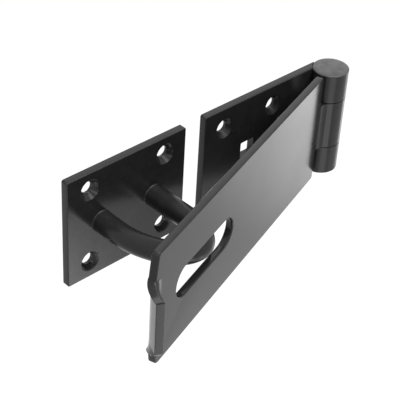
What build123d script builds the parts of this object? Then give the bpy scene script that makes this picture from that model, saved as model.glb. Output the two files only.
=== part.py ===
from build123d import *
import math
import os

# Heavy hasp and staple, lengths in millimetres, angles in degrees.
# The wall face is the plane Y = 0 and outward is -Y. X runs along the hasp towards its hinge,
# Z is up, and the origin is the middle of the hinge leaf's screw holes on the wall face.

# Sheet and height
sheet = 3.0
leaf_height = 45.0
hasp_height = 47.0

# Hinge barrel
pin_diameter = 8.0
pin_running_gap = 0.05
middle_knuckle_height = 20.2
knuckle_end_gap = 0.35
knuckle_window_gap = 1.2
leaf_roll_end = 28.0
hasp_roll_end = 12.0
crank_radius = 6.0
open_angle = 18.3

# Hinge leaf
leaf_reach = 62.7
leaf_hole_inset = 10.0
leaf_hole_pitch_x = 25.7
leaf_hole_pitch_z = 28.0
leaf_corner_radius = 0.8
bolt_square = 6.7
bolt_square_corner = 0.6

# Screw holes in both fixed plates
screw_hole_diameter = 4.5
countersink_diameter = 8.4
countersink_angle = 90.0

# Staple plate
plate_gap = 9.5
staple_plate_width = 54.0
staple_plate_corner = 0.8
staple_hole_pitch_x = 34.2
staple_hole_pitch_z = 31.0

# Staple bar
bar_diameter = 8.4
leg_pitch = 24.0
crown_reach = 32.8
crown_left_width = 14.9
crown_left_depth = 23.8
crown_left_radius = 10.0
crown_right_depth = 13.9
crown_right_radius = 6.0
bar_fit_gap = 0.05

# Slot and free end of the hasp
slot_side_gap = 2.0
slot_hinge_end_gap = 0.4
slot_free_end_gap = 7.5
end_margin = 12.4
hasp_corner_radius = 1.5

# Finger lip pressed in the free end, with a short ramp above it and a longer one below
lip_angle = 45.0
lip_height = 21.0
lip_reach = 11.6
lip_set_back = 2.3
lip_bend_share = 0.48
lip_edge = 0.2
lip_ramp_steps = 3
upper_ramp = 3.5
upper_shoulder = 1.7
lower_ramp = 7.0
lower_shoulder = 0.8

# Pin ends
head_overhang = 0.1
head_thickness = 0.8
head_recess = 0.5
head_recess_gap = 0.2
head_slope = 1.0
head_edge = 0.3
peen_radius = 5.0
peen_height = 0.8

# Small chamfer that breaks the pressed edges
soft_edge = 0.4

# Worked out from the values above
pin_radius = pin_diameter / 2
bore_radius = pin_radius + pin_running_gap
roll_radius = bore_radius + sheet
roll_middle = bore_radius + sheet / 2
leaf_edge_x = -leaf_hole_inset - leaf_hole_pitch_x / 2
axis_x = leaf_edge_x + leaf_reach
axis_y = -roll_radius
staple_x = leaf_edge_x - plate_gap - staple_plate_width / 2
bar_radius = bar_diameter / 2
left_leg_x = staple_x - leg_pitch / 2
right_leg_x = staple_x + leg_pitch / 2
window_height = middle_knuckle_height + 2 * knuckle_end_gap
crank_start = math.sqrt(roll_middle**2 + 2 * crank_radius * roll_middle)
crank_turn = math.degrees(math.atan2(crank_radius, crank_start))
knuckle_root = crank_start + 2 * soft_edge
slot_height = bar_diameter + 2 * slot_side_gap
slot_near = axis_x - right_leg_x - bar_radius - slot_hinge_end_gap
slot_far = axis_x - left_leg_x + bar_radius + slot_free_end_gap
hasp_end = slot_far + end_margin
head_radius = roll_radius + head_overhang
knuckle_top = leaf_height / 2 - head_recess
lip_root = hasp_end - lip_set_back
upper_end = hasp_end + upper_shoulder
lower_end = hasp_end + lower_shoulder
upper_z = lip_height / 2 + upper_ramp
lower_z = -lip_height / 2 - lower_ramp

# The wall plane has its normal outward, so an offset along it is a height off the wall
wall = Plane.XZ
front = wall.offset(sheet)
pin_axis = Axis((axis_x, axis_y, 0), (0, 0, 1))

# Hasp planes, set on the pin axis and swung open, with x to the free end:
# the plan has y outward, and the face has y up and its normal towards the wall
swing = math.radians(open_angle)
along = (-math.cos(swing), -math.sin(swing), 0)
inward = (-math.sin(swing), math.cos(swing), 0)
hasp_plan = Plane(origin=(axis_x, axis_y, 0), x_dir=along, z_dir=(0, 0, 1))
hasp_face = Plane(origin=(axis_x, axis_y, 0), x_dir=along, z_dir=inward)


def screw_holes(centre_x, pitch_x, pitch_z):
    """Four countersunk holes, drilled from the front face of a fixed plate."""
    with Locations(front):
        with Locations((centre_x, 0)):
            with GridLocations(pitch_x, pitch_z, 2, 2):
                CounterSinkHole(
                    radius=screw_hole_diameter / 2,
                    counter_sink_radius=countersink_diameter / 2,
                    depth=sheet,
                    counter_sink_angle=countersink_angle,
                )


# Hinge leaf: one sheet whose end is rolled round the pin, wall face tangent to the roll
with BuildPart() as hinge_leaf:
    with BuildSketch(Plane.XY) as leaf_plan:
        with BuildLine():
            wall_line = Line((leaf_edge_x, 0), (axis_x, 0))
            turn = -(270 + leaf_roll_end)
            outer = CenterArc((axis_x, axis_y), roll_radius, 90, turn)
            inner = CenterArc((axis_x, axis_y), bore_radius, 90, turn)
            Line(outer @ 1, inner @ 1)
            front_line = Line(inner @ 0, (leaf_edge_x, -sheet))
            Line(front_line @ 1, wall_line @ 0)
        make_face()
    extrude(amount=leaf_height / 2, both=True)
    # Corners of the free edge
    free_corners = hinge_leaf.edges().filter_by(Axis.Y).group_by(Axis.X)[0]
    fillet(free_corners, leaf_corner_radius)
    front_edges = hinge_leaf.edges().filter_by_position(Axis.Y, -sheet, -sheet)
    chamfer(front_edges.sort_by(Axis.X)[:-1], soft_edge)
    # Window for the hasp's knuckle
    window_left = axis_x - roll_radius - knuckle_window_gap
    window_right = axis_x + roll_radius + knuckle_window_gap
    with BuildSketch(wall) as window:
        with Locations(((window_left + window_right) / 2, 0)):
            Rectangle(window_right - window_left, window_height)
    extrude(amount=2 * roll_radius, mode=Mode.SUBTRACT)
    # Recess that lets the pin's head into the top knuckle
    with BuildSketch(Plane.XY.offset(knuckle_top)) as recess:
        with Locations((axis_x, axis_y)):
            Circle(head_radius + head_recess_gap)
    extrude(amount=head_recess, mode=Mode.SUBTRACT)
    # Square hole for a coach bolt, between the four screw holes
    with BuildSketch(wall) as bolt_hole:
        Rectangle(bolt_square, bolt_square)
        fillet(bolt_hole.vertices(), bolt_square_corner)
    extrude(amount=sheet, mode=Mode.SUBTRACT)
    screw_holes(0, leaf_hole_pitch_x, leaf_hole_pitch_z)


def lip_section(height, share, flat_end):
    """Section of the free end at one height; share is 0 for flat sheet and 1 for the full lip."""
    reach = (flat_end - lip_root) * (1 - share) + lip_reach * share
    bend_length = lip_bend_share * reach
    turn = math.radians(lip_angle) * share
    middle = []
    for part_way in (0, 0.5, 1):
        slope = turn * part_way
        chord = bend_length * part_way * math.sin(slope / 2) / (slope / 2) if slope else bend_length * part_way
        middle.append((lip_root + chord * math.cos(slope / 2), chord * math.sin(slope / 2), slope))
    bend_end = middle[-1]
    straight = reach - bend_length
    tip = Vector(bend_end[0], bend_end[1]) + Vector(straight, 0).rotate(Axis.Z, math.degrees(turn))
    tip_along = Vector(1, 0).rotate(Axis.Z, math.degrees(turn))
    tip_across = tip_along.rotate(Axis.Z, 90)
    with BuildSketch(hasp_plan.offset(height)) as section:
        with BuildLine():
            faces = []
            corners = []
            for side in (-1, 1):
                offset = side * sheet / 2
                points = [(x - offset * math.sin(t), y + offset * math.cos(t)) for x, y, t in middle]
                points.append(tip - tip_along * lip_edge + tip_across * offset)
                faces.append(Spline(*points, tangents=[(1, 0), tip_along]))
                corner_end = tip + tip_across * (offset - side * lip_edge)
                corners.append(Line(faces[-1] @ 1, corner_end))
            Line(faces[0] @ 0, faces[1] @ 0)
            Line(corners[0] @ 1, corners[1] @ 1)
        make_face()
    return section.sketch.face()


def lip_share(part_way):
    """Share of the lip at a part of the way down its ramp."""
    return (1 + math.cos(math.pi * part_way)) / 2


def clear_of_lip(edge):
    """True for an edge above or below the lip and its ramps."""
    return not lower_z - soft_edge < edge.center().Z < upper_z + soft_edge


# Hasp: long plate with a slot, a knuckle cranked and rolled round the pin, and a finger lip
with BuildPart() as hasp:
    # Plate outline, with shoulders that run out to the lip
    with BuildSketch(hasp_face.offset(-sheet / 2)) as outline:
        with BuildLine():
            Polyline(
                (crank_start, -hasp_height / 2),
                (hasp_end, -hasp_height / 2),
                (lower_end, lower_z),
                (lip_root, lower_z),
                (lip_root, upper_z),
                (upper_end, upper_z),
                (hasp_end, hasp_height / 2),
                (crank_start, hasp_height / 2),
                close=True,
            )
        make_face()
        outer_corners = outline.vertices().group_by(Axis.Y)
        fillet(outer_corners[0] + outer_corners[-1], hasp_corner_radius)
    extrude(amount=sheet)
    chamfer(hasp.edges().filter_by(hasp_face).filter_by(clear_of_lip), soft_edge)
    # Finger lip, and the ramps that run it out to the flat shoulders
    extrude(lip_section(-lip_height / 2, 1, hasp_end), amount=lip_height)
    ramp = [step / lip_ramp_steps for step in range(lip_ramp_steps + 1)]
    for lip_z, outer_z, flat_end in ((lip_height / 2, upper_z, upper_end), (-lip_height / 2, lower_z, lower_end)):
        loft([lip_section(lip_z + (outer_z - lip_z) * t, lip_share(t), flat_end) for t in ramp])
    # Cranked and rolled knuckle
    with BuildSketch(hasp_plan) as knuckle_plan:
        with BuildLine():
            crank_centre = (crank_start, crank_radius)
            roll_turn = 360 - hasp_roll_end - crank_turn
            outer = CenterArc((0, 0), roll_radius, crank_turn, roll_turn)
            inner = CenterArc((0, 0), bore_radius, crank_turn, roll_turn)
            Line(outer @ 1, inner @ 1)
            CenterArc(crank_centre, crank_radius - sheet / 2, 270, crank_turn - 90)
            CenterArc(crank_centre, crank_radius + sheet / 2, 270, crank_turn - 90)
            Polyline(
                (crank_start, -sheet / 2),
                (knuckle_root, -sheet / 2),
                (knuckle_root, sheet / 2),
                (crank_start, sheet / 2),
            )
        make_face()
    extrude(amount=middle_knuckle_height / 2, both=True)
    # Slot that passes over the staple
    with BuildSketch(hasp_face.offset(-sheet / 2)) as slot:
        with Locations(((slot_near + slot_far) / 2, 0)):
            SlotOverall(slot_far - slot_near, slot_height)
    extrude(amount=sheet, mode=Mode.SUBTRACT)
    chamfer(hasp.edges(Select.LAST).filter_by(hasp_face), soft_edge)

# Hinge pin: low head let into the top knuckle, end hammered over under the bottom one
with BuildPart() as hinge_pin:
    with BuildSketch(Plane(origin=pin_axis.position, x_dir=(1, 0, 0), z_dir=(0, -1, 0))):
        with BuildLine():
            Polyline(
                (0, knuckle_top + head_thickness),
                (head_radius - head_slope, knuckle_top + head_thickness),
                (head_radius, knuckle_top + head_thickness - head_edge),
                (head_radius, knuckle_top),
                (pin_radius, knuckle_top),
                (pin_radius, -leaf_height / 2),
                (peen_radius, -leaf_height / 2),
                (peen_radius - peen_height, -leaf_height / 2 - peen_height),
                (0, -leaf_height / 2 - peen_height),
                close=True,
            )
        make_face()
    revolve(axis=pin_axis)

# Staple plate
with BuildPart() as staple_plate:
    with BuildSketch(wall) as plate_outline:
        with Locations((staple_x, 0)):
            RectangleRounded(staple_plate_width, leaf_height, staple_plate_corner)
    extrude(amount=sheet)
    chamfer(staple_plate.faces().sort_by(Axis.Y)[0].edges(), soft_edge)
    screw_holes(staple_x, staple_hole_pitch_x, staple_hole_pitch_z)
    # Holes for the two legs
    with BuildSketch(wall) as leg_holes:
        with Locations((left_leg_x, 0), (right_leg_x, 0)):
            Circle(bar_radius + bar_fit_gap)
    extrude(amount=sheet, mode=Mode.SUBTRACT)


def shoulder_arc(width, depth, radius):
    """Turn and radius of the wide arc that leads from a leg into the tight bend of the crown."""
    turn = 2 * math.atan2(width - radius, depth - radius)
    return math.degrees(turn), radius + (depth - radius) / math.sin(turn)


# Staple: one round bar bent to a U, its legs ending flush in the plate's back face
left_turn, left_wide = shoulder_arc(crown_left_width, crown_left_depth, crown_left_radius)
right_turn, right_wide = shoulder_arc(leg_pitch - crown_left_width, crown_right_depth, crown_right_radius)
with BuildPart() as staple:
    with BuildLine(Plane.XY) as bar_line:
        leg = Line((left_leg_x, 0), (left_leg_x, -sheet - crown_reach + crown_left_depth))
        bend_1 = JernArc(leg @ 1, leg % 1, left_wide, left_turn)
        bend_2 = JernArc(bend_1 @ 1, bend_1 % 1, crown_left_radius, 90 - left_turn)
        bend_3 = JernArc(bend_2 @ 1, bend_2 % 1, crown_right_radius, 90 - right_turn)
        bend_4 = JernArc(bend_3 @ 1, bend_3 % 1, right_wide, right_turn)
        Line(bend_4 @ 1, (right_leg_x, 0))
    with BuildSketch(wall) as bar_section:
        with Locations((left_leg_x, 0)):
            Circle(bar_radius)
    sweep(path=bar_line.wire())

pieces = {
    "hinge_leaf": hinge_leaf,
    "hasp": hasp,
    "hinge_pin": hinge_pin,
    "staple_plate": staple_plate,
    "staple": staple,
}
os.makedirs("parts", exist_ok=True)
for piece_name, piece in pieces.items():
    piece.part.label = piece_name
    export_step(piece.part, f"parts/{piece_name}.step")
    print(piece_name, "volume", round(piece.part.volume, 1))
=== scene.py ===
"""Black safety hasp, open on its hinge in front of its staple.

It is dressed and lit as in the product photograph.
"""
import math

import bmesh
import bpy
from mathutils import Matrix, Vector


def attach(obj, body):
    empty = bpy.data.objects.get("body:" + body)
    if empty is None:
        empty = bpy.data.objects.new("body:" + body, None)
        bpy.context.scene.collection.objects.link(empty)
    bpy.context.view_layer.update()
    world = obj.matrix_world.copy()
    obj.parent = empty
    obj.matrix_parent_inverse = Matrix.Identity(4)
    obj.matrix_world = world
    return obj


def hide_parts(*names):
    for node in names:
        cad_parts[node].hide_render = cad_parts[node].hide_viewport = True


bl_info = {
    "name": "Safety hasp",
    "version": (1, 0, 0),
    "blender": (4, 5, 0),
    "location": "View3D > Sidebar > Safety hasp",
    "description": "Models the hasp, its hinge and its staple, and sets the studio",
    "category": "Add Mesh",
}

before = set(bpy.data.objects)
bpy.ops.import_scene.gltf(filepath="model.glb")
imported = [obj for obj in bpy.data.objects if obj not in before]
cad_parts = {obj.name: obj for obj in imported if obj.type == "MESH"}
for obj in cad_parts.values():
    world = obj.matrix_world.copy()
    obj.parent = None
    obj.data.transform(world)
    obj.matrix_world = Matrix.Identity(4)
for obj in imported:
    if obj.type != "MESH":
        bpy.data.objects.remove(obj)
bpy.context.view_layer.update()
MM = 0.001

# Sheets: gap closed between the CAD's separate triangles, and angles in degrees
MERGE_GAP = 0.002 * MM
FLAT_TURN = 0.6  # faces that turn less become one
SHEET_TURN = 32  # edges that turn more stay sharp
CHAMFER_TURN = 60  # edges that turn more border no chamfer

# Round pieces: sides round the pin and the bar, and the degrees above which an edge stays sharp
PIN_SIDES = 64
BAR_SIDES = 48
ROUND_TURN = 40

# Pin: radius and height of each ring, in millimetres, from the hammered end to the low head
PIN_RINGS = (
    (3.0, -23.25), (4.2, -23.1), (4.75, -22.85), (4.95, -22.5), (4.0, -22.5),
    (4.0, 22.0), (7.02, 22.0), (7.13, 22.1), (7.13, 22.2), (7.06, 22.32), (6.88, 22.43),
    (6.55, 22.53), (6.0, 22.61), (5.0, 22.68), (3.5, 22.74), (2.0, 22.77), (0.6, 22.78),
)

# Crown of the staple, in millimetres: width and depth of each side, and radius of its tight arc
CROWN_SIDES = ((14.9, 23.8, 10.0), (9.1, 13.9, 6.0))
# Its arcs: degrees in one step, and fewest steps in one arc
BEND_STEP = 3
FEWEST_STEPS = 6
# Legs: radius as a share of the bar's and depth in millimetres, of the end at the wall and of
# each ring of the paint fillet on the plate
LEG_END = (1.0, 0.0)
FOOT_RINGS = ((1.0, 2.98), (1.05, 3.0), (1.025, 3.12), (1.008, 3.3), (1.0, 3.6))
WELD_GAP = 0.001 * MM

# Powder coat: scale of each pattern, a higher one being finer, and the span of it that is used
COAT_IOR = 1.35
PATTERN_SHIFT = (0.37, 0.61, 0.23)
PEEL_SCALE = 900
PEEL_STRENGTH = 0.35
CLOUD_SCALE = 60
CLOUD_SPAN = (0.3, 0.7)
GLOSS_SWING = 0.015
PATCH_SCALE = 240
PATCH_SPAN = (0.35, 0.65)
SPECK_SCALE = 420
SPECK_SPAN = (0.05, 0.11)
SPECK_LIFT = 2.4

# Studio: strengths for light and for what the camera and mirrors see, and lengths in metres
WHITE = (1, 1, 1, 1)
WORLD_WHITE = (0.35, 1.0)
FLOOR_WHITE = (0.0, 0.88)
FLOOR_COLOUR = (0.25, 0.25, 0.25, 1)
FLOOR_ROUGHNESS = 0.9
FLOOR_SIZE = 8
MIDDLE = (-0.02, -0.02, 0)
# Lamps: name, place, target, size, and spread in degrees. A lamp's power is the property of the
# studio look with its name, such as key_power.
LAMPS = (
    ("key", (0.15, -0.35, 0.9), MIDDLE, 0.9, 180),
    ("fill", (-0.72, -0.68, 0.62), MIDDLE, 0.6, 180),
    ("back", (0.55, 0.45, 0.48), MIDDLE, 0.5, 180),
    ("side", (0.37, -0.044, -0.225), (-0.02, -0.03, 0), 0.5, 17),
    ("low", (0.09, -0.255, -0.296), (-0.08, 0, -0.01), 0.2, 15),
    ("barrel", (-0.129, -0.324, -0.271), (0.04, -0.01, 0), 0.26, 180),
)
# Camera, solved from the plates' outlines and screw holes in the photograph
CAMERA_RIGHT = Vector((0.723335, -0.68847, 0.052877))
CAMERA_UP = Vector((0.383383, 0.464126, 0.798501))
CAMERA_BACK = Vector((-0.574286, -0.557312, 0.599666))
CAMERA_SPOT = Vector((-294.97, -270.71, 268.7)) * MM
CAMERA_CLIP = 0.01


class HaspSizes(bpy.types.PropertyGroup):
    """Sizes of the pieces modelled here, in metres. All but the soft edge follow the CAD."""

    soft_edge: bpy.props.FloatProperty(
        name="Soft edge",
        description="Widest chamfer that shades as a round edge",
        default=0.6 * MM,
        unit="LENGTH",
    )
    bar_radius: bpy.props.FloatProperty(
        name="Bar radius",
        description="Radius of the staple's round bar",
        default=4.2 * MM,
        unit="LENGTH",
    )
    left_leg: bpy.props.FloatProperty(
        name="Left leg",
        description="Place of the staple's left leg along X",
        default=-71.35 * MM,
        unit="LENGTH",
    )
    leg_pitch: bpy.props.FloatProperty(
        name="Leg pitch",
        description="Distance between the legs of the staple",
        default=24.0 * MM,
        unit="LENGTH",
    )
    crown_reach: bpy.props.FloatProperty(
        name="Crown reach",
        description="Bar centre line at the crown, off the wall",
        default=35.8 * MM,
        unit="LENGTH",
    )
    pin_x: bpy.props.FloatProperty(
        name="Pin X", description="Place of the hinge pin along X", default=39.85 * MM, unit="LENGTH"
    )
    pin_y: bpy.props.FloatProperty(
        name="Pin Y", description="Place of the hinge pin along Y", default=-7.05 * MM, unit="LENGTH"
    )


class HaspFinish(bpy.types.PropertyGroup):
    """Look of the powder coat."""

    coat: bpy.props.FloatVectorProperty(
        name="Coat",
        description="Colour of the powder coat",
        default=(0.019, 0.019, 0.02),
        subtype="COLOR",
    )
    pin_coat: bpy.props.FloatVectorProperty(
        name="Pin coat",
        description="Thinner, paler coat on the pin",
        default=(0.078, 0.078, 0.079),
        subtype="COLOR",
    )
    roughness: bpy.props.FloatProperty(
        name="Roughness",
        description="Mean roughness of the powder coat",
        default=0.16,
        subtype="FACTOR",
    )
    peel: bpy.props.FloatProperty(
        name="Orange peel",
        description="Depth of the fine texture of the coat",
        default=0.03 * MM,
        unit="LENGTH",
    )


class StudioLook(bpy.types.PropertyGroup):
    """Camera, lamps and floor. The powers are in watts."""

    lens: bpy.props.FloatProperty(
        name="Lens", description="Focal length in millimetres", default=109.45, unit="CAMERA"
    )
    floor_drop: bpy.props.FloatProperty(
        name="Floor",
        description="Height of the floor, from the middle of the hasp",
        default=-0.5,
        unit="LENGTH",
    )
    key_power: bpy.props.FloatProperty(
        name="Key", description="Power of the overhead lamp", default=9.0, unit="POWER"
    )
    fill_power: bpy.props.FloatProperty(
        name="Fill", description="Power of the front lamp", default=2.6, unit="POWER"
    )
    back_power: bpy.props.FloatProperty(
        name="Back", description="Power of the lamp behind", default=0.35, unit="POWER"
    )
    side_power: bpy.props.FloatProperty(
        name="Side",
        description="Power of the soft lamp at the hinge end",
        default=0.0172,
        unit="POWER",
    )
    low_power: bpy.props.FloatProperty(
        name="Low",
        description="Power of the low lamp that lights the screw plate",
        default=0.0044,
        unit="POWER",
    )
    barrel_power: bpy.props.FloatProperty(
        name="Barrel",
        description="Power of the low lamp that draws the knuckles' highlights",
        default=0.38,
        unit="POWER",
    )


def pick_nothing():
    """Leaves object mode with nothing selected."""
    if bpy.context.object and bpy.context.object.mode != "OBJECT":
        bpy.ops.object.mode_set(mode="OBJECT")
    bpy.ops.object.select_all(action="DESELECT")


def make_active(piece):
    """Selects one piece alone and makes it the active one."""
    pick_nothing()
    piece.select_set(True)
    bpy.context.view_layer.objects.active = piece


def smooth_by_angle(piece, degrees):
    """Shades the piece smooth, and keeps the edges that turn more than that angle sharp."""
    make_active(piece)
    bpy.ops.object.shade_smooth_by_angle(angle=math.radians(degrees))


def hand_over(piece, node, body, coat):
    """Lets the finished piece stand for its CAD node, on that node's body."""
    piece.data.materials.clear()
    piece.data.materials.append(coat)
    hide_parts(node)
    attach(piece, body)


def soften_chamfers(piece, width):
    """Shades chamfers up to that width as the round edges a coat leaves.

    Wider ones, as in a countersink, stay crisp.
    """
    mesh = bmesh.new()
    mesh.from_mesh(piece.data)
    for edge in mesh.edges:
        if not edge.smooth and edge.calc_face_angle(0) < math.radians(CHAMFER_TURN):
            # A triangle holds half the area of a strip as wide as it is
            areas = [face.calc_area() * (2 if len(face.verts) == 3 else 1) for face in edge.link_faces]
            if min(areas) < width * edge.calc_length():
                edge.smooth = True
    mesh.to_mesh(piece.data)
    mesh.free()


def pressed_copy(node, name):
    """Copy of a CAD sheet with its faces joined up, shaded smooth round its bends and soft edges."""
    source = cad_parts[node]
    piece = bpy.data.objects.new(name, source.data.copy())
    bpy.context.scene.collection.objects.link(piece)
    make_active(piece)
    bpy.ops.object.mode_set(mode="EDIT")
    bpy.ops.mesh.select_all(action="SELECT")
    bpy.ops.mesh.remove_doubles(threshold=MERGE_GAP)
    bpy.ops.mesh.dissolve_limited(angle_limit=math.radians(FLAT_TURN))
    bpy.ops.object.mode_set(mode="OBJECT")
    smooth_by_angle(piece, SHEET_TURN)
    soften_chamfers(piece, bpy.context.scene.hasp_sizes.soft_edge)
    # Large flat faces keep their own normal, so that they reflect as flat
    even = piece.modifiers.new("even_faces", "WEIGHTED_NORMAL")
    even.keep_sharp = True
    bpy.ops.object.modifier_apply(modifier=even.name)
    return piece


def add_noise(nodes, links, place, scale, detail):
    """Noise on the piece's own coordinates."""
    noise = nodes.new("ShaderNodeTexNoise")
    noise.inputs["Scale"].default_value = scale
    noise.inputs["Detail"].default_value = detail
    links.new(place, noise.inputs["Vector"])
    return noise.outputs["Fac"]


def add_range(nodes, links, value, taken, given):
    """Value stretched from one span to another and held within it."""
    stretch = nodes.new("ShaderNodeMapRange")
    for side, start, end in (("Min", taken[0], given[0]), ("Max", taken[1], given[1])):
        stretch.inputs["From " + side].default_value = start
        stretch.inputs["To " + side].default_value = end
    links.new(value, stretch.inputs["Value"])
    return stretch.outputs["Result"]


def shade_of(colour, share):
    """Colour made darker or lighter, with its alpha."""
    return (*(share * channel for channel in colour), 1)


def powder_coat(name, seed, base=None, mottle=0.1, dull=0.0):
    """Satin black powder coat: fine orange peel, faint clouding of the gloss and a few pale specks.

    The seed gives each piece its own part of the pattern, mottle is how far the colour swings
    where the coat is thinner or thicker, and dull is added to the roughness.
    """
    finish = bpy.context.scene.hasp_finish
    base = tuple(base or finish.coat)
    coat = bpy.data.materials.new(name)
    coat.use_nodes = True
    nodes, links = coat.node_tree.nodes, coat.node_tree.links
    shader = nodes["Principled BSDF"]
    shader.inputs["IOR"].default_value = COAT_IOR
    origin = nodes.new("ShaderNodeTexCoord")
    shift = nodes.new("ShaderNodeMapping")
    shift.inputs["Location"].default_value = tuple(seed * step for step in PATTERN_SHIFT)
    links.new(origin.outputs["Object"], shift.inputs["Vector"])
    place = shift.outputs["Vector"]
    # Orange peel
    bump = nodes.new("ShaderNodeBump")
    bump.inputs["Strength"].default_value = PEEL_STRENGTH
    bump.inputs["Distance"].default_value = finish.peel
    links.new(add_noise(nodes, links, place, PEEL_SCALE, detail=3), bump.inputs["Height"])
    links.new(bump.outputs["Normal"], shader.inputs["Normal"])
    # Clouding of the gloss
    cloud = add_noise(nodes, links, place, CLOUD_SCALE, detail=4)
    mean = finish.roughness + dull
    gloss = add_range(nodes, links, cloud, CLOUD_SPAN, (mean - GLOSS_SWING, mean + GLOSS_SWING))
    links.new(gloss, shader.inputs["Roughness"])
    # Mottling where the coat is thinner or thicker
    thickness = add_noise(nodes, links, place, PATCH_SCALE, detail=5)
    mottled = nodes.new("ShaderNodeMix")
    mottled.data_type = "RGBA"
    mottled.inputs["A"].default_value = shade_of(base, 1 - mottle)
    mottled.inputs["B"].default_value = shade_of(base, 1 + mottle)
    links.new(add_range(nodes, links, thickness, PATCH_SPAN, (0, 1)), mottled.inputs["Factor"])
    # Pale specks in the coat
    specks = nodes.new("ShaderNodeTexVoronoi")
    specks.inputs["Scale"].default_value = SPECK_SCALE
    links.new(place, specks.inputs["Vector"])
    speckled = nodes.new("ShaderNodeMix")
    speckled.data_type = "RGBA"
    speckled.inputs["B"].default_value = shade_of(base, SPECK_LIFT)
    near = add_range(nodes, links, specks.outputs["Distance"], SPECK_SPAN, (1, 0))
    links.new(near, speckled.inputs["Factor"])
    links.new(mottled.outputs["Result"], speckled.inputs["A"])
    links.new(speckled.outputs["Result"], shader.inputs["Base Color"])
    return coat


class HASP_OT_plates(bpy.types.Operator):
    """Dress the two fixed plates"""

    bl_idname = "hasp.plates"
    bl_label = "Fixed plates"

    def execute(self, context):
        leaf = pressed_copy("hinge_leaf", "leaf")
        hand_over(leaf, "hinge_leaf", "base", powder_coat("leaf_coat", 1, dull=0.12))
        plate = pressed_copy("staple_plate", "screw_plate")
        hand_over(plate, "staple_plate", "base", powder_coat("plate_coat", 2))
        return {"FINISHED"}


class HASP_OT_swing(bpy.types.Operator):
    """Dress the swinging hasp"""

    bl_idname = "hasp.swing"
    bl_label = "Swinging hasp"

    def execute(self, context):
        hasp = pressed_copy("hasp", "swing_hasp")
        hand_over(hasp, "hasp", "swing", powder_coat("hasp_coat", 3))
        return {"FINISHED"}


class HASP_OT_pin(bpy.types.Operator):
    """Model the hinge pin, ring by ring from its hammered end to its low head"""

    bl_idname = "hasp.pin"
    bl_label = "Hinge pin"

    def execute(self, context):
        sizes, finish = context.scene.hasp_sizes, context.scene.hasp_finish
        pick_nothing()
        radius, height = PIN_RINGS[0]
        bpy.ops.mesh.primitive_circle_add(
            vertices=PIN_SIDES,
            radius=radius * MM,
            fill_type="NGON",
            location=(sizes.pin_x, sizes.pin_y, height * MM),
        )
        pin = context.object
        pin.name = "pin"
        bpy.ops.object.transform_apply(location=True, rotation=True, scale=True)
        bpy.ops.object.mode_set(mode="EDIT")
        bpy.ops.mesh.select_all(action="SELECT")
        for next_radius, next_height in PIN_RINGS[1:]:
            rise = (0, 0, (next_height - height) * MM)
            bpy.ops.mesh.extrude_region_move(TRANSFORM_OT_translate={"value": rise})
            grow = next_radius / radius
            centre = (sizes.pin_x, sizes.pin_y, next_height * MM)
            bpy.ops.transform.resize(value=(grow, grow, 1), center_override=centre)
            radius, height = next_radius, next_height
        bpy.ops.mesh.select_all(action="SELECT")
        bpy.ops.mesh.normals_make_consistent(inside=False)
        bpy.ops.object.mode_set(mode="OBJECT")
        smooth_by_angle(pin, ROUND_TURN)
        coat = powder_coat("pin_coat", 4, base=finish.pin_coat, mottle=0.28)
        hand_over(pin, "hinge_pin", "base", coat)
        return {"FINISHED"}


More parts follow.
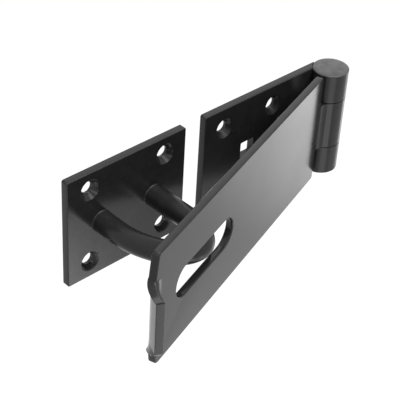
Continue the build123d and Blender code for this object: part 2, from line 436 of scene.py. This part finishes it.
class HASP_OT_staple(bpy.types.Operator):
    """Model the staple: a round bar extruded out of the plate and spun round the arcs of its crown"""

    bl_idname = "hasp.staple"
    bl_label = "Staple"

    def execute(self, context):
        sizes = context.scene.hasp_sizes
        left_x, reach = sizes.left_leg, sizes.crown_reach
        right_x = left_x + sizes.leg_pitch
        crown_x = left_x + CROWN_SIDES[0][0] * MM
        # Each side of the crown is a wide arc and a tight one that meet without a kink
        sides = []
        for width, depth, tight in CROWN_SIDES:
            turn = 2 * math.atan2(width - tight, depth - tight)
            wide = tight + (depth - tight) / math.sin(turn)
            sides.append((turn, wide * MM, tight * MM, depth * MM))
        (left_turn, left_wide, left_tight, left_depth) = sides[0]
        (right_turn, right_wide, right_tight, right_depth) = sides[1]
        arcs = (
            (left_turn, (left_x + left_wide, left_depth - reach, 0)),
            (math.pi / 2 - left_turn, (crown_x, left_tight - reach, 0)),
            (math.pi / 2 - right_turn, (crown_x, right_tight - reach, 0)),
            (right_turn, (right_x - right_wide, right_depth - reach, 0)),
        )
        pick_nothing()
        bpy.ops.mesh.primitive_circle_add(
            vertices=BAR_SIDES,
            radius=sizes.bar_radius,
            fill_type="NGON",
            location=(left_x, 0, 0),
            rotation=(math.pi / 2, 0, 0),
        )
        bar = context.object
        bar.name = "bar"
        bpy.ops.object.transform_apply(location=True, rotation=True, scale=True)
        bpy.ops.object.mode_set(mode="EDIT")
        bpy.ops.mesh.select_all(action="SELECT")
        foot_top = self.run_rings(FOOT_RINGS, LEG_END, left_x)
        foot_height = foot_top[1] * MM
        self.draw_out(foot_height - (reach - left_depth))
        for turn, centre in arcs:
            steps = max(FEWEST_STEPS, round(math.degrees(turn) / BEND_STEP))
            bpy.ops.mesh.spin(steps=steps, angle=turn, center=centre, axis=(0, 0, -1))
        self.draw_out(reach - right_depth - foot_height)
        self.run_rings((*reversed(FOOT_RINGS[:-1]), LEG_END), foot_top, right_x)
        bpy.ops.mesh.select_all(action="SELECT")
        bpy.ops.mesh.remove_doubles(threshold=WELD_GAP)
        bpy.ops.mesh.normals_make_consistent(inside=False)
        bpy.ops.object.mode_set(mode="OBJECT")
        smooth_by_angle(bar, ROUND_TURN)
        coat = powder_coat("staple_coat", 5, dull=0.1)
        hand_over(bar, "staple", "base", coat)
        return {"FINISHED"}

    def draw_out(self, length):
        """Extrudes the end ring of a leg along Y."""
        bpy.ops.mesh.extrude_region_move(TRANSFORM_OT_translate={"value": (0, length, 0)})

    def run_rings(self, rings, ring, leg_x):
        """Extrudes the end ring of a leg through each ring given, and returns the last of them."""
        for share, depth in rings:
            self.draw_out((ring[1] - depth) * MM)
            grow = share / ring[0]
            bpy.ops.transform.resize(value=(grow, 1, grow), center_override=(leg_x, -depth * MM, 0))
            ring = (share, depth)
        return ring


def white_for_mirrors(nodes, links, strengths):
    """Strength that is the first number for light, and the second for what the camera and mirrors see."""
    path = nodes.new("ShaderNodeLightPath")
    seen = path.outputs["Is Camera Ray"]
    for ray in ("Is Glossy Ray", "Is Transmission Ray"):
        either = nodes.new("ShaderNodeMath")
        either.operation = "MAXIMUM"
        links.new(seen, either.inputs[0])
        links.new(path.outputs[ray], either.inputs[1])
        seen = either.outputs["Value"]
    return add_range(nodes, links, seen, (0, 1), strengths)


class HASP_OT_studio(bpy.types.Operator):
    """Set the white floor and world, the lamps and the camera of the photograph"""

    bl_idname = "hasp.studio"
    bl_label = "Studio"

    def execute(self, context):
        look = context.scene.studio_look
        context.scene.view_settings.view_transform = "Standard"
        self.add_world(context.scene)
        self.add_floor(look.floor_drop)
        for name, place, target, size, spread in LAMPS:
            self.add_lamp(name, place, target, size, spread, getattr(look, name + "_power"))
        self.add_camera(context.scene, look.lens)
        return {"FINISHED"}

    def add_world(self, scene):
        """White world, dimmer as a light than as a background."""
        world = bpy.data.worlds.new("white_room")
        world.use_nodes = True
        scene.world = world
        nodes, links = world.node_tree.nodes, world.node_tree.links
        background = nodes["Background"]
        background.inputs["Color"].default_value = WHITE
        links.new(white_for_mirrors(nodes, links, WORLD_WHITE), background.inputs["Strength"])

    def add_floor(self, height):
        """Floor that looks white, lights nothing and keeps the shadow."""
        pick_nothing()
        bpy.ops.mesh.primitive_plane_add(size=FLOOR_SIZE, location=(0, 0, height))
        floor = bpy.context.object
        floor.name = "floor"
        paper = bpy.data.materials.new("white_paper")
        paper.use_nodes = True
        nodes, links = paper.node_tree.nodes, paper.node_tree.links
        shader = nodes["Principled BSDF"]
        shader.inputs["Base Color"].default_value = FLOOR_COLOUR
        shader.inputs["Roughness"].default_value = FLOOR_ROUGHNESS
        shader.inputs["Specular IOR Level"].default_value = 0.0
        shader.inputs["Emission Color"].default_value = WHITE
        links.new(white_for_mirrors(nodes, links, FLOOR_WHITE), shader.inputs["Emission Strength"])
        floor.data.materials.append(paper)

    def add_lamp(self, name, place, target, size, spread, power):
        """Square soft lamp aimed at a point; a small spread, in degrees, lets it fade off its axis."""
        lamp = bpy.data.lights.new(name, "AREA")
        lamp.size = size
        lamp.spread = math.radians(spread)
        lamp.energy = power
        holder = bpy.data.objects.new(name, lamp)
        bpy.context.scene.collection.objects.link(holder)
        holder.location = place
        aim = Vector(target) - Vector(place)
        holder.rotation_euler = aim.to_track_quat("-Z", "Y").to_euler()

    def add_camera(self, scene, lens):
        """Camera at the photograph's place and angle."""
        camera = bpy.data.objects.new("camera", bpy.data.cameras.new("camera"))
        scene.collection.objects.link(camera)
        turn = Matrix((CAMERA_RIGHT, CAMERA_UP, CAMERA_BACK)).transposed().to_4x4()
        camera.matrix_world = Matrix.Translation(CAMERA_SPOT) @ turn
        camera.data.lens = lens
        camera.data.clip_start = CAMERA_CLIP
        scene.camera = camera


class HASP_PT_panel(bpy.types.Panel):
    """Sizes, looks and buttons for each step of the hasp"""

    bl_idname = "HASP_PT_panel"
    bl_label = "Safety hasp"
    bl_space_type = "VIEW_3D"
    bl_region_type = "UI"
    bl_category = "Safety hasp"

    def draw(self, context):
        for group in (context.scene.hasp_sizes, context.scene.hasp_finish, context.scene.studio_look):
            box = self.layout.box()
            for name in group.__annotations__:
                box.prop(group, name)
        for step in STEPS:
            self.layout.operator(step.bl_idname)


STEPS = (HASP_OT_plates, HASP_OT_swing, HASP_OT_pin, HASP_OT_staple, HASP_OT_studio)
GROUPS = (HaspSizes, HaspFinish, StudioLook)


def register():
    for item in (*GROUPS, *STEPS, HASP_PT_panel):
        bpy.utils.register_class(item)
    bpy.types.Scene.hasp_sizes = bpy.props.PointerProperty(type=HaspSizes)
    bpy.types.Scene.hasp_finish = bpy.props.PointerProperty(type=HaspFinish)
    bpy.types.Scene.studio_look = bpy.props.PointerProperty(type=StudioLook)


def unregister():
    del bpy.types.Scene.hasp_sizes
    del bpy.types.Scene.hasp_finish
    del bpy.types.Scene.studio_look
    for item in reversed((*GROUPS, *STEPS, HASP_PT_panel)):
        bpy.utils.unregister_class(item)


def main():
    register()
    bpy.ops.hasp.plates()
    bpy.ops.hasp.swing()
    bpy.ops.hasp.pin()
    bpy.ops.hasp.staple()
    bpy.ops.hasp.studio()


if __name__ == "__main__":
    main()
